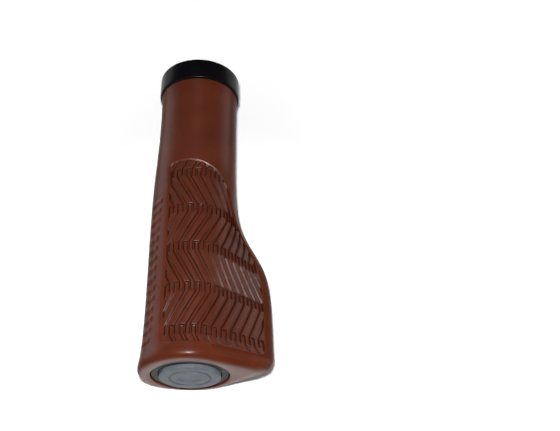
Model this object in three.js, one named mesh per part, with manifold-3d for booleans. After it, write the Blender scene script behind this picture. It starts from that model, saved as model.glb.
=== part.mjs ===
// Handlebar grip with a palm wing, in millimetres.
// While it is modelled, the handlebar's axis is Y and the outer end face is at y = 0.
// The wing points to +X, +Z is up, and the grip lies on its underside.
import * as THREE from 'three';
import { mergeVertices } from 'three/addons/utils/BufferGeometryUtils.js';
import Module from 'manifold-3d';

// Handlebar and clearances
const barRadius = 11.1;
const barClearance = 0.05;
const seatGap = 0.3;
const roundSides = 48;

// Whole grip
const gripLength = 130.5;

// Rubber body: round neck, fuller middle and flared outer end
const neckRadius = 15.3;
const sideBelly = 1.8;
const sideBellyPlace = 87;
const sideBellyEase = 8;
const palmBelly = 0.9;
const palmBellyPlace = 62.8;
const ridgeRise = 3.1;
const ridgePlace = 68;
const ridgeEase = 12;
const undersideSpare = 0.6;
const undersidePlace = 60;
const undersideEase = 10;
const flareRise = 2;
const flareLength = 7.5;
const neckLip = 0.45;
const neckLipLength = 5;
const endFillet = 2.6;

// Palm wing
const wingReach = 29.6;
const wingPlace = 54.2;
const wingEase = 6.3;
const wingTipRadius = 6;
const wingTipPlace = 68.6;
const wingTipEase = 6;
const wingTipRise = 3.2;
const wingTipDrop = 16;
const wingTipDropLength = 26.8;
const wingCorner = 7;
const wingCornerCut = 5.6;

// Sunk panel on the top
const panelDepth = 0.4;
const panelLeft = 9.8;
const panelStart = 5.8;
const panelTop = 81.4;
const panelRightMargin = 2.8;
const archRise = 11.4;
const archCentreX = -4;
const archHalfWidth = 17.6;
const panelCorner = 2.5;
const topTilt = 8.5;
const topDrop = 5.2;

// Zigzag channels in the panel
const channelDepth = 0.65;
const channelWidth = 1.6;
const channelPitch = 4.07;
const channelLean = 7.18;
const channelMargin = 0.35;
const channelPhase = -2.34;
const rowPitch = 16.25;
const firstJoint = 75.6;
const legHalf = 1.7;
const rowCount = 6;

// Plain ribs on the thumb side
const ribCount = 15;
const ribPitch = 4;
const ribStart = 8;
const ribLength = 1.8;
const ribHeight = 0.35;
const ribLow = 6.5;
const ribHigh = 12;

// Core sleeve with its flange and the stop for the bar's end
const coreWall = 1.6;
const flangeRadius = 13.8;
const flangeThickness = 2;
const flangeSunk = 0.5;
const stopRadius = 9.2;
const stopThickness = 1.5;
const capSeatDepth = 1.3;
const lugWidth = 6;
const lugLength = 2.2;

// End cap
const capRadius = 11;
const capProud = 0.8;
const capBevel = 0.6;
const capRingRadius = 7.2;
const capRingWidth = 0.7;
const capRingDepth = 0.45;
const capDishRadius = 4;
const capDishDepth = 0.4;
const capSkirtLength = 5;
const capSkirtWall = 1.5;
const capPlateThickness = 1;

// Clamp ring with its slit and bolt
const ringRadius = 16.5;
const ringWidth = 9.5;
const ringRounding = 1;
const ringFlat = 0.3;
const slitWidth = 1.5;
const boltCover = 1.4;
const boltWall = 0.35;
const boltLength = 10;
const headRim = 1.25;
const headHeight = 3;
const headSeat = 3.2;
const socketWall = 1.3;
const socketDepth = 1.3;

// Worked out from the sizes above
const boreRadius = barRadius + barClearance;
const coreRadius = boreRadius + coreWall;
const ringStart = gripLength - ringWidth;
const neckEnd = ringStart - seatGap;
const ringMiddle = ringStart + ringWidth / 2;
const restDepth = ringRadius - ringFlat;
const undersideDrop = restDepth + undersideSpare - neckRadius;
const boltRadius = (ringRadius - boreRadius - boltCover - boltWall) / 2 - seatGap;
const boltDepth = ringRadius - boltCover - seatGap - boltRadius;
const headRadius = boltRadius + headRim;
const socketRadius = headRadius - socketWall;
const flangeBack = flangeSunk + flangeThickness;
const stopFront = flangeSunk + capSeatDepth;
const stopBack = stopFront + stopThickness;
const capBack = stopFront - seatGap;
const capSkirtRadius = stopRadius - seatGap;
const overshoot = 5;

const wasm = await Module();
wasm.setup();

// Boolean solids and their meshes

function toSolid(geometry) {
  const bare = geometry.index ? geometry.clone() : mergeVertices(geometry);
  bare.deleteAttribute('normal');
  bare.deleteAttribute('uv');
  const merged = mergeVertices(bare, 1e-5);
  const vertProperties = new Float32Array(merged.attributes.position.array);
  const triVerts = new Uint32Array(merged.index.array);
  return new wasm.Manifold(new wasm.Mesh({ numProp: 3, vertProperties, triVerts }));
}

function toGeometry(solid) {
  const mesh = solid.getMesh();
  const geometry = new THREE.BufferGeometry();
  geometry.setAttribute('position', new THREE.BufferAttribute(mesh.vertProperties, 3));
  geometry.setIndex(new THREE.BufferAttribute(mesh.triVerts, 1));
  return geometry;
}

function drum(radius, from, to) {
  const geometry = new THREE.CylinderGeometry(radius, radius, to - from, roundSides);
  return toSolid(geometry.translate(0, (from + to) / 2, 0));
}

function block(xFrom, xTo, yFrom, yTo, zFrom, zTo) {
  const geometry = new THREE.BoxGeometry(xTo - xFrom, yTo - yFrom, zTo - zFrom);
  return toSolid(geometry.translate((xFrom + xTo) / 2, (yFrom + yTo) / 2, (zFrom + zTo) / 2));
}

function turned(profile) {
  const points = profile.map(([radius, y]) => new THREE.Vector2(radius, y));
  return new THREE.LatheGeometry(points, roundSides);
}

function prism(outline, height) {
  const shape = new THREE.Shape(outline.map(([x, y]) => new THREE.Vector2(x, y)));
  return toSolid(new THREE.ExtrudeGeometry(shape, { depth: height, bevelEnabled: false }));
}

// Outer form of the rubber body, as the size of its section at each distance y from the end face

function ease(y, place, length) {
  return 1 / (1 + Math.exp((y - place) / length));
}

function sectionAt(y) {
  const flare = flareRise * Math.exp(-y / flareLength);
  const lip = neckLip * Math.exp((y - ringStart) / neckLipLength);
  const wing = ease(y, wingPlace, wingEase);
  const tip = ease(y, wingTipPlace, wingTipEase);
  const tipHeight = wingTipRise - wingTipDrop * (1 - Math.exp(-y / wingTipDropLength));
  const intoCorner = Math.min(1, Math.max(0, 1 - y / wingCorner));
  const corner = wingCornerCut * (1 - Math.sqrt(1 - intoCorner ** 2));
  return {
    left: neckRadius + sideBelly * ease(y, sideBellyPlace, sideBellyEase) + flare + lip,
    top: neckRadius + ridgeRise * ease(y, ridgePlace, ridgeEase) + flare + lip,
    bottom: neckRadius + undersideDrop * ease(y, undersidePlace, undersideEase) + lip,
    right: neckRadius + palmBelly * ease(y, palmBellyPlace, sideBellyEase) + lip,
    reach: neckRadius + (wingReach - neckRadius) * wing + lip - corner,
    tip: neckRadius + (wingTipRadius - neckRadius) * tip,
    tipRise: tipHeight * tip,
  };
}

// How far the section reaches in each direction: a round main part and the wing's round tip,
// with straight flanks between them, and the rounded edge of the end face.
const directions = Array.from({ length: 240 }, (_, i) => (i / 240) * 2 * Math.PI);

function supportAt(y, inset) {
  const size = sectionAt(y);
  const intoFillet = Math.min(endFillet, Math.max(0, endFillet - y));
  const fillet = endFillet - Math.sqrt(endFillet ** 2 - intoFillet ** 2);
  return directions.map((angle) => {
    const across = Math.cos(angle);
    const up = Math.sin(angle);
    const width = across < 0 ? size.left : size.right;
    const height = up > 0 ? size.top : size.bottom;
    const main = Math.hypot(width * across, height * up);
    const wingTip = (size.reach - size.tip) * across + size.tipRise * up + size.tip;
    return { across, up, reach: Math.max(main, wingTip) - fillet - inset };
  });
}

function outlineAt(y, inset, sides) {
  const size = sectionAt(y);
  const support = supportAt(y, inset);
  const centre = (size.reach - size.left) / 2;
  return Array.from({ length: sides }, (_, i) => {
    const angle = (i / sides) * 2 * Math.PI;
    const x = Math.cos(angle);
    const z = Math.sin(angle);
    let radius = Infinity;
    for (const side of support) {
      const facing = side.across * x + side.up * z;
      if (facing > 0.01) radius = Math.min(radius, (side.reach - centre * side.across) / facing);
    }
    return new THREE.Vector3(centre + radius * x, y, radius * z);
  });
}

function topAt(x, support) {
  let height = Infinity;
  for (const side of support) {
    if (side.up > 0.02) height = Math.min(height, (side.reach - x * side.across) / side.up);
  }
  return height;
}

// Stations along the body: close together on the rounded end, wider along the grip
function stations() {
  const list = [];
  const filletSteps = 4;
  for (let i = 0; i < filletSteps; i += 1) {
    list.push(endFillet * (1 - Math.cos((i / filletSteps) * (Math.PI / 2))));
  }
  const cornerSteps = 3;
  for (let i = 0; i < cornerSteps; i += 1) {
    list.push(endFillet + ((wingCorner - endFillet) * i) / cornerSteps);
  }
  const steps = 20;
  for (let i = 0; i <= steps; i += 1) {
    list.push(wingCorner + ((neckEnd - wingCorner) * i) / steps);
  }
  return list;
}

function loftedBody(inset, sides) {
  const places = stations();
  const rings = places.map((y) => outlineAt(y, inset, sides));
  const corners = rings.flat();
  const outerCentre = corners.push(new THREE.Vector3(0, places[0], 0)) - 1;
  const neckCentre = corners.push(new THREE.Vector3(0, places[places.length - 1], 0)) - 1;
  const faces = [];
  const at = (ring, side) => ring * sides + (side % sides);
  for (let side = 0; side < sides; side += 1) {
    faces.push(outerCentre, at(0, side), at(0, side + 1));
    faces.push(neckCentre, at(rings.length - 1, side + 1), at(rings.length - 1, side));
    for (let ring = 0; ring < rings.length - 1; ring += 1) {
      faces.push(at(ring, side), at(ring + 1, side), at(ring + 1, side + 1));
      faces.push(at(ring, side), at(ring + 1, side + 1), at(ring, side + 1));
    }
  }
  const geometry = new THREE.BufferGeometry().setFromPoints(corners);
  geometry.setIndex(faces);
  return toSolid(geometry);
}

// Outline of the sunk panel, seen from above: straight on the thumb side, arched at the neck
// and following the wing's edge on the other side
function panelOutline(margin) {
  const left = -panelLeft + margin;
  const start = panelStart + margin;
  const top = panelTop - margin;
  const corner = panelCorner - margin;
  const outline = [];
  const sideStep = 5;
  const rightAt = (y) => sectionAt(y).reach - panelRightMargin - margin;
  const archTopAt = (x) => {
    const across = (x - archCentreX) / (archHalfWidth - margin);
    return top - archRise + archRise * Math.sqrt(Math.max(0, 1 - across ** 2));
  };
  const arc = (x, y, from) => {
    for (let i = 0; i <= 3; i += 1) {
      const angle = from + (i / 3) * (Math.PI / 2);
      outline.push([x + corner * Math.cos(angle), y + corner * Math.sin(angle)]);
    }
  };
  arc(left + corner, start + corner, Math.PI);
  arc(rightAt(start + corner) - corner, start + corner, -Math.PI / 2);
  const sideEnd = top - archRise;
  for (let y = start + corner + sideStep; y < sideEnd; y += sideStep) outline.push([rightAt(y), y]);
  const archSteps = 9;
  const archEnd = Math.min(rightAt(sideEnd), archCentreX + archHalfWidth - margin);
  for (let i = 0; i < archSteps; i += 1) {
    const turn = (i / archSteps) * (Math.PI / 2);
    const x = archCentreX + (archEnd - archCentreX) * Math.cos(turn);
    outline.push([x, archTopAt(x)]);
  }
  arc(left + corner, archTopAt(left + corner) - corner, Math.PI / 2);
  return outline;
}

// Plan position of a point that lies a given way round the girth from the ridge
function planAt(girth, y) {
  const support = supportAt(y, 0);
  const step = Math.sign(girth) * 0.2;
  let x = 0;
  let z = topAt(0, support);
  let walked = 0;
  while (walked < Math.abs(girth)) {
    const next = topAt(x + step, support);
    const length = Math.hypot(step, next - z);
    if (!(length < 2)) break;
    const part = Math.min(1, (Math.abs(girth) - walked) / length);
    x += step * part;
    walked += length;
    z = next;
  }
  return x;
}

// A row's channel: a short leg, a leaning run and a second leg, of equal width all along
function channelOutline(row, girth) {
  const upper = firstJoint - (row - 1) * rowPitch;
  const lower = upper - rowPitch;
  const lean = row % 2 === 1 ? channelLean : -channelLean;
  const route = [
    [girth, upper + legHalf],
    [girth, upper - legHalf],
    [girth + lean, lower + legHalf],
    [girth + lean, lower - legHalf],
  ];
  const rightSide = route.map(([place, y]) => [planAt(place + channelWidth / 2, y), y]);
  const leftSide = route.map(([place, y]) => [planAt(place - channelWidth / 2, y), y]);
  return [...leftSide, ...rightSide.reverse()];
}

// An upright prism that stays above the wing's underside: it ends at a tilted plane near the
// outer end, where the wing is thin, and at a level one further on
function topPrism(outline) {
  const wide = 2 * gripLength;
  const lower = block(-wide, wide, -wide, wide, -wide, 0).rotate([-topTilt, 0, 0]);
  return prism(outline, 2 * wingReach).translate([0, 0, -topDrop]).subtract(lower);
}

function insidePanel(x, y) {
  const right = sectionAt(y).reach - panelRightMargin - channelMargin;
  const across = (x - archCentreX) / archHalfWidth;
  const arch = panelTop - archRise + archRise * Math.sqrt(Math.max(0, 1 - across ** 2));
  const left = -panelLeft + channelMargin;
  return x > left && x < right && y > panelStart + channelMargin && y < arch - channelMargin;
}

// A channel is cut where enough of its outline lies in the panel
function isUseful(outline) {
  const [a, b, c, d, e, f, g, h] = outline;
  const ends = [[a, h], [b, g], [c, f], [d, e]];
  const middles = ends.map(([p, q]) => [(p[0] + q[0]) / 2, (p[1] + q[1]) / 2]);
  let inside = 0;
  for (let i = 0; i < 3; i += 1) {
    for (let part = 0.1; part < 1; part += 0.2) {
      const x = middles[i][0] + (middles[i + 1][0] - middles[i][0]) * part;
      const y = middles[i][1] + (middles[i + 1][1] - middles[i][1]) * part;
      if (insidePanel(x, y)) inside += 1;
    }
  }
  return inside > 1;
}

function channels() {
  const found = [];
  const girthLimit = 48;
  for (let row = 0; row < rowCount; row += 1) {
    const start = row % 2 === 1 ? channelPhase : channelPhase + channelPitch / 2 + channelLean;
    const low = Math.ceil((-girthLimit - start) / channelPitch);
    const high = Math.floor((girthLimit - start) / channelPitch);
    for (let place = low; place <= high; place += 1) {
      const outline = channelOutline(row, start + place * channelPitch);
      if (isUseful(outline)) found.push(topPrism(outline));
    }
  }
  return found;
}

function rubberBody() {
  const sides = 60;
  const outer = loftedBody(0, sides);
  const sunk = loftedBody(panelDepth, sides);
  const deep = loftedBody(panelDepth + channelDepth, sides);
  const panel = topPrism(panelOutline(0)).subtract(sunk);
  const field = topPrism(panelOutline(channelMargin)).subtract(deep);
  let body = outer.subtract(panel);
  for (const channel of channels()) body = body.subtract(channel.intersect(field));
  body = body.add(thumbRibs(sides));
  body = body.subtract(drum(coreRadius + seatGap, -overshoot, gripLength));
  body = body.subtract(drum(flangeRadius + seatGap, -overshoot, flangeBack + seatGap));
  const wide = 2 * wingReach;
  return body.subtract(block(-wide, wide, -overshoot, gripLength, -wide, -restDepth));
}

// A plain row of short raised ribs along the thumb side
function thumbRibs(sides) {
  const raised = loftedBody(-ribHeight, sides);
  let ribs = null;
  for (let i = 0; i < ribCount; i += 1) {
    const from = ribStart + i * ribPitch;
    const bar = block(-wingReach, -neckRadius / 2, from, from + ribLength, ribLow, ribHigh);
    ribs = ribs ? ribs.add(bar) : bar;
  }
  return ribs.intersect(raised);
}

function coreSleeve() {
  const tube = toSolid(turned([
    [boreRadius, stopBack],
    [stopRadius, stopBack],
    [stopRadius, stopFront],
    [capRadius + seatGap, stopFront],
    [capRadius + seatGap, flangeSunk],
    [flangeRadius, flangeSunk],
    [flangeRadius, flangeBack],
    [coreRadius, flangeBack],
    [coreRadius, neckEnd],
    [boreRadius, neckEnd],
    [boreRadius, stopBack],
  ]));
  const lugRing = drum(coreRadius, neckEnd - lugLength, ringStart + lugLength)
    .subtract(drum(boreRadius, 0, gripLength));
  const band = block(
    -ringRadius, ringRadius, neckEnd - lugLength, ringStart + lugLength, -lugWidth / 2, lugWidth / 2,
  );
  return tube.add(lugRing.intersect(band));
}

function endCap() {
  const front = -capProud;
  const ringOuter = capRingRadius + capRingWidth / 2;
  const ringInner = capRingRadius - capRingWidth / 2;
  const skirtEnd = capBack + capSkirtLength;
  const plateBack = capBack + capPlateThickness;
  const hollow = capSkirtRadius - capSkirtWall;
  return toSolid(turned([
    [0, front + capDishDepth],
    [capDishRadius, front + capDishDepth],
    [capDishRadius + capDishDepth, front],
    [ringInner, front],
    [ringInner, front + capRingDepth],
    [ringOuter, front + capRingDepth],
    [ringOuter, front],
    [capRadius - capBevel, front],
    [capRadius, front + capBevel],
    [capRadius, capBack],
    [capSkirtRadius, capBack],
    [capSkirtRadius, skirtEnd],
    [hollow, skirtEnd],
    [hollow, plateBack],
    [0, plateBack],
  ]));
}

function clampRing() {
  const profile = [[boreRadius, gripLength], [boreRadius, ringStart]];
  const arcSteps = 3;
  for (let i = 0; i <= arcSteps; i += 1) {
    const turn = (i / arcSteps) * (Math.PI / 2);
    profile.push([
      ringRadius - ringRounding + ringRounding * Math.sin(turn),
      ringStart + ringRounding - ringRounding * Math.cos(turn),
    ]);
  }
  for (let i = 0; i <= arcSteps; i += 1) {
    const turn = (i / arcSteps) * (Math.PI / 2);
    profile.push([
      ringRadius - ringRounding + ringRounding * Math.cos(turn),
      gripLength - ringRounding + ringRounding * Math.sin(turn),
    ]);
  }
  profile.push([boreRadius, gripLength]);
  const ring = toSolid(turned(profile));
  const notch = drum(coreRadius + seatGap, ringStart - overshoot, ringStart + lugLength + seatGap)
    .intersect(block(
      -ringRadius, ringRadius, 0, gripLength, -lugWidth / 2 - seatGap, lugWidth / 2 + seatGap,
    ));
  const slit = block(-slitWidth / 2, slitWidth / 2, 0, 2 * gripLength, -2 * ringRadius, 0);
  const hole = alongX(drum(boltRadius + seatGap, -ringRadius, ringRadius));
  const pocket = alongX(drum(headRadius + seatGap, headSeat - seatGap, ringRadius));
  const wide = 2 * ringRadius;
  const underside = block(-wide, wide, 0, 2 * gripLength, -wide, -restDepth);
  return ring.subtract(notch).subtract(slit).subtract(hole).subtract(pocket).subtract(underside);
}

// Turns a solid made along Y so that it lies along X at the bolt's place
function alongX(solid) {
  return solid.rotate([0, 0, -90]).translate([0, ringMiddle, -boltDepth]);
}

function clampBolt() {
  const body = toSolid(turned([
    [0, headSeat - boltLength],
    [boltRadius, headSeat - boltLength],
    [boltRadius, headSeat],
    [headRadius, headSeat],
    [headRadius, headSeat + headHeight],
    [0, headSeat + headHeight],
  ]));
  const socketShape = new THREE.CylinderGeometry(socketRadius, socketRadius, 2 * socketDepth, 6);
  const socket = toSolid(socketShape.translate(0, headSeat + headHeight, 0));
  return alongX(body.subtract(socket));
}

// Materials

const brownRubber = new THREE.MeshStandardMaterial({ color: 0x4c2a22, roughness: 0.45 });
const slatePlastic = new THREE.MeshStandardMaterial({ color: 0x4f555e, roughness: 0.45 });
const greyPlastic = new THREE.MeshStandardMaterial({ color: 0x8489a0, roughness: 0.4 });
const blackMetal = new THREE.MeshStandardMaterial({ color: 0x0d0d0f, roughness: 0.3, metalness: 0.6 });
const darkSteel = new THREE.MeshStandardMaterial({ color: 0x1b1b1d, roughness: 0.35, metalness: 0.9 });

function piece(name, solid, material) {
  const mesh = new THREE.Mesh(toGeometry(solid), material);
  mesh.name = name;
  return mesh;
}

const grip = new THREE.Group();
grip.add(
  piece('rubber_body', rubberBody(), brownRubber),
  piece('core_sleeve', coreSleeve(), slatePlastic),
  piece('end_cap', endCap(), greyPlastic),
  piece('clamp_ring', clampRing(), blackMetal),
  piece('clamp_bolt', clampBolt(), darkSteel),
);

// The finished part stands with its lowest point at z = 0, under the middle of its length and width
const extent = new THREE.Box3().setFromObject(grip);
const middle = extent.getCenter(new THREE.Vector3());
grip.position.set(-middle.x, -middle.y, -extent.min.z);

const part = new THREE.Group();
part.add(grip);

export default part;
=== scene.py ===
"""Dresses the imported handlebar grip: a fine skin for each piece, with materials, lights and camera."""
import math

import bmesh
import bpy
import numpy as np
from mathutils import Matrix, Vector
from mathutils.geometry import delaunay_2d_cdt


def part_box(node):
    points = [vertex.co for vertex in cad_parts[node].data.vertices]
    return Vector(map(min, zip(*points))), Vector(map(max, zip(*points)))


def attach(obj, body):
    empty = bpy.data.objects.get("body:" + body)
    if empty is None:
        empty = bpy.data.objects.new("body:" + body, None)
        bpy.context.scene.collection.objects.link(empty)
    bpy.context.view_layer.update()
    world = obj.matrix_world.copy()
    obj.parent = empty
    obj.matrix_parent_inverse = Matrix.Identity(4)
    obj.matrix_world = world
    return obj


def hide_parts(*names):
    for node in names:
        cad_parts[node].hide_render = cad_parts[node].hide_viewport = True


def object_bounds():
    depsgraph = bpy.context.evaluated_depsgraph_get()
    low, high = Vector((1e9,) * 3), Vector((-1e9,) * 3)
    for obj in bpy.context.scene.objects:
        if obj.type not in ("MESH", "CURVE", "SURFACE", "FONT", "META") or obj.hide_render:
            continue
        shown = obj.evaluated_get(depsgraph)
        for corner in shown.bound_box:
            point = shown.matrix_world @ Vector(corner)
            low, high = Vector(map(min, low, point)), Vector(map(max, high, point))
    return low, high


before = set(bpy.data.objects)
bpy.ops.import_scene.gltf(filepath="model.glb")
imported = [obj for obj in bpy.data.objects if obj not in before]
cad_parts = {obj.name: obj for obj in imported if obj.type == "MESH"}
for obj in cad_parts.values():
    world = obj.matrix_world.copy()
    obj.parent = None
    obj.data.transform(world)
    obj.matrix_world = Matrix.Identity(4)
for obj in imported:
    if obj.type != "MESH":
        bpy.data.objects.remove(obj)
cad_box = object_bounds()

MM = 0.001

# Sizes below are in millimetres, in the grip's own frame: the bar's axis is Y and the end face is at y = 0.
sleeve_low, sleeve_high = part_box("core_sleeve")
body_low, body_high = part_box("rubber_body")
ring_low, ring_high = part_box("clamp_ring")
cap_low, cap_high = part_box("end_cap")
bolt_low, bolt_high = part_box("clamp_bolt")
ORIGIN = Vector(((sleeve_low.x + sleeve_high.x) / 2, body_low.y, (sleeve_low.z + sleeve_high.z) / 2))


def along(value):
    """A world Y coordinate as millimetres from the end face."""
    return (value - ORIGIN.y) / MM


GRIP_LENGTH = along(ring_high.y)
RING_START = along(ring_low.y)
RING_RADIUS = (ring_high.x - ring_low.x) / 2 / MM
NECK_END = along(body_high.y)
REST_DEPTH = ORIGIN.z / MM
FLANGE_RADIUS = (sleeve_high.x - sleeve_low.x) / 2 / MM
FLANGE_SUNK = along(sleeve_low.y)
CAP_RADIUS = (cap_high.x - cap_low.x) / 2 / MM
CAP_PROUD = -along(cap_low.y)
HEAD_RADIUS = (bolt_high.z - bolt_low.z) / 2 / MM
HEAD_TOP = (bolt_high.x - ORIGIN.x) / MM
BOLT_TIP = (bolt_low.x - ORIGIN.x) / MM
BOLT_DEPTH = (ORIGIN.z - (bolt_low.z + bolt_high.z) / 2) / MM

SEAT_GAP = 0.3
BORE_RADIUS = 11.15
CORE_RADIUS = 12.75
FLANGE_BACK = 2.5

# Rubber body
NECK_RADIUS = 15.3
SIDE_BELLY, SIDE_BELLY_PLACE, SIDE_BELLY_EASE = 1.8, 87, 8
PALM_BELLY, PALM_BELLY_PLACE = 0.9, 62.8
RIDGE_RISE, RIDGE_PLACE, RIDGE_EASE = 3.1, 68, 12
UNDERSIDE_DROP, UNDERSIDE_PLACE, UNDERSIDE_EASE = 1.5, 60, 10
FLARE_RISE, FLARE_LENGTH = 2, 7.5
NECK_LIP, NECK_LIP_LENGTH = 0.45, 5
END_FILLET = 2.6
END_RIM = 0.6

# Palm wing
WING_REACH, WING_PLACE, WING_EASE = 29.6, 54.2, 6.3
WING_TIP_RADIUS, WING_TIP_PLACE, WING_TIP_EASE = 6, 68.6, 6
WING_TIP_RISE, WING_TIP_DROP, WING_TIP_DROP_LENGTH = 3.2, 16, 26.8
WING_CORNER, WING_CORNER_CUT = 7, 5.6

# Sunk panel
PANEL_DEPTH = 0.4
PANEL_LEFT, PANEL_START, PANEL_TOP = 9.8, 5.8, 81.4
PANEL_RIGHT_MARGIN = 2.8
ARCH_RISE, ARCH_CENTRE_X, ARCH_HALF_WIDTH = 11.4, -4, 17.6
PANEL_CORNER = 2.5

# Channels
CHANNEL_DEPTH, CHANNEL_WIDTH = 0.65, 1.6
CHANNEL_PITCH, CHANNEL_LEAN = 4.07, 7.18
CHANNEL_MARGIN, CHANNEL_PHASE = 0.35, -2.34
ROW_PITCH, ROW_COUNT = 16.25, 6
FIRST_JOINT, LEG_HALF = 75.6, 1.7

# Ribs on the thumb side
RIB_COUNT, RIB_PITCH, RIB_START = 15, 4, 8
RIB_LENGTH, RIB_HEIGHT = 1.8, 0.35
RIB_LOW, RIB_HIGH = 6.5, 12

# The body's surface: steps in degrees, the stretches where the ridge and the foot lie, and counts of rows
SUPPORT_STEP, OUTLINE_STEP = 1.0, 0.75
RIDGE_BETWEEN, FOOT_BETWEEN = (15, 165), (195, 345)
FILLET_ROWS, CORNER_ROWS, LENGTH_ROWS = 13, 12, 150
# A direction with a smaller cosine than this to a support line isn't limited by that line
EDGE_ON = 0.01

# The body's net: lengths along its seam and counts of points, then spacings and clear distances
SEAM_FINE_END, SEAM_FINE_POINTS, SEAM_POINTS = 4, 9, 96
END_POINTS, NECK_POINTS = 140, 110
EDGE_SPACING, GRID_SPACING = 0.7, 1.15
GRID_START, SEAM_CLEAR, EDGE_CLEAR = 0.5, 0.6, 0.45
EDGE_REACH, LIMIT_REACH = 1, 2
FAR_AWAY = 1e3
ON_BORDER = 1e-3

# The turned surfaces that carry on from the net: the seat's rounded mouth, and rows along the bore
SEAT_LIP, SEAT_LIP_MIDDLE = 0.3, 0.09
BORE_ROWS = (20, 40, 60, 80)
BORE_POINTS = 140

# Points closer than this are merged, and smaller slivers go, in metres
MERGE_WITHIN, SLIVER = 2e-6, 1e-7

# How an edge rounds over and meets the floor: distance outward from the edge, and share of the depth
CHANNEL_WALL = ((0.24, 0), (0.1, 0.06), (-0.02, 0.32), (-0.14, 0.72), (-0.26, 0.95), (-0.42, 1))
PANEL_WALL = ((0.4, 0), (0.14, 0.08), (-0.05, 0.5), (-0.2, 0.92), (-0.42, 1))
RIB_WALL = ((0.3, 0), (0.12, 0.1), (-0.05, 0.5), (-0.2, 0.9), (-0.4, 1))


def place(points):
    """Points of the grip's own frame, in millimetres, as world coordinates in metres."""
    return np.asarray(points, float) * MM + np.array(ORIGIN)


def ease(y, middle, length):
    """A smooth fall from 1 to 0 as y passes the middle."""
    return 1 / (1 + np.exp((y - middle) / length))


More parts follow.
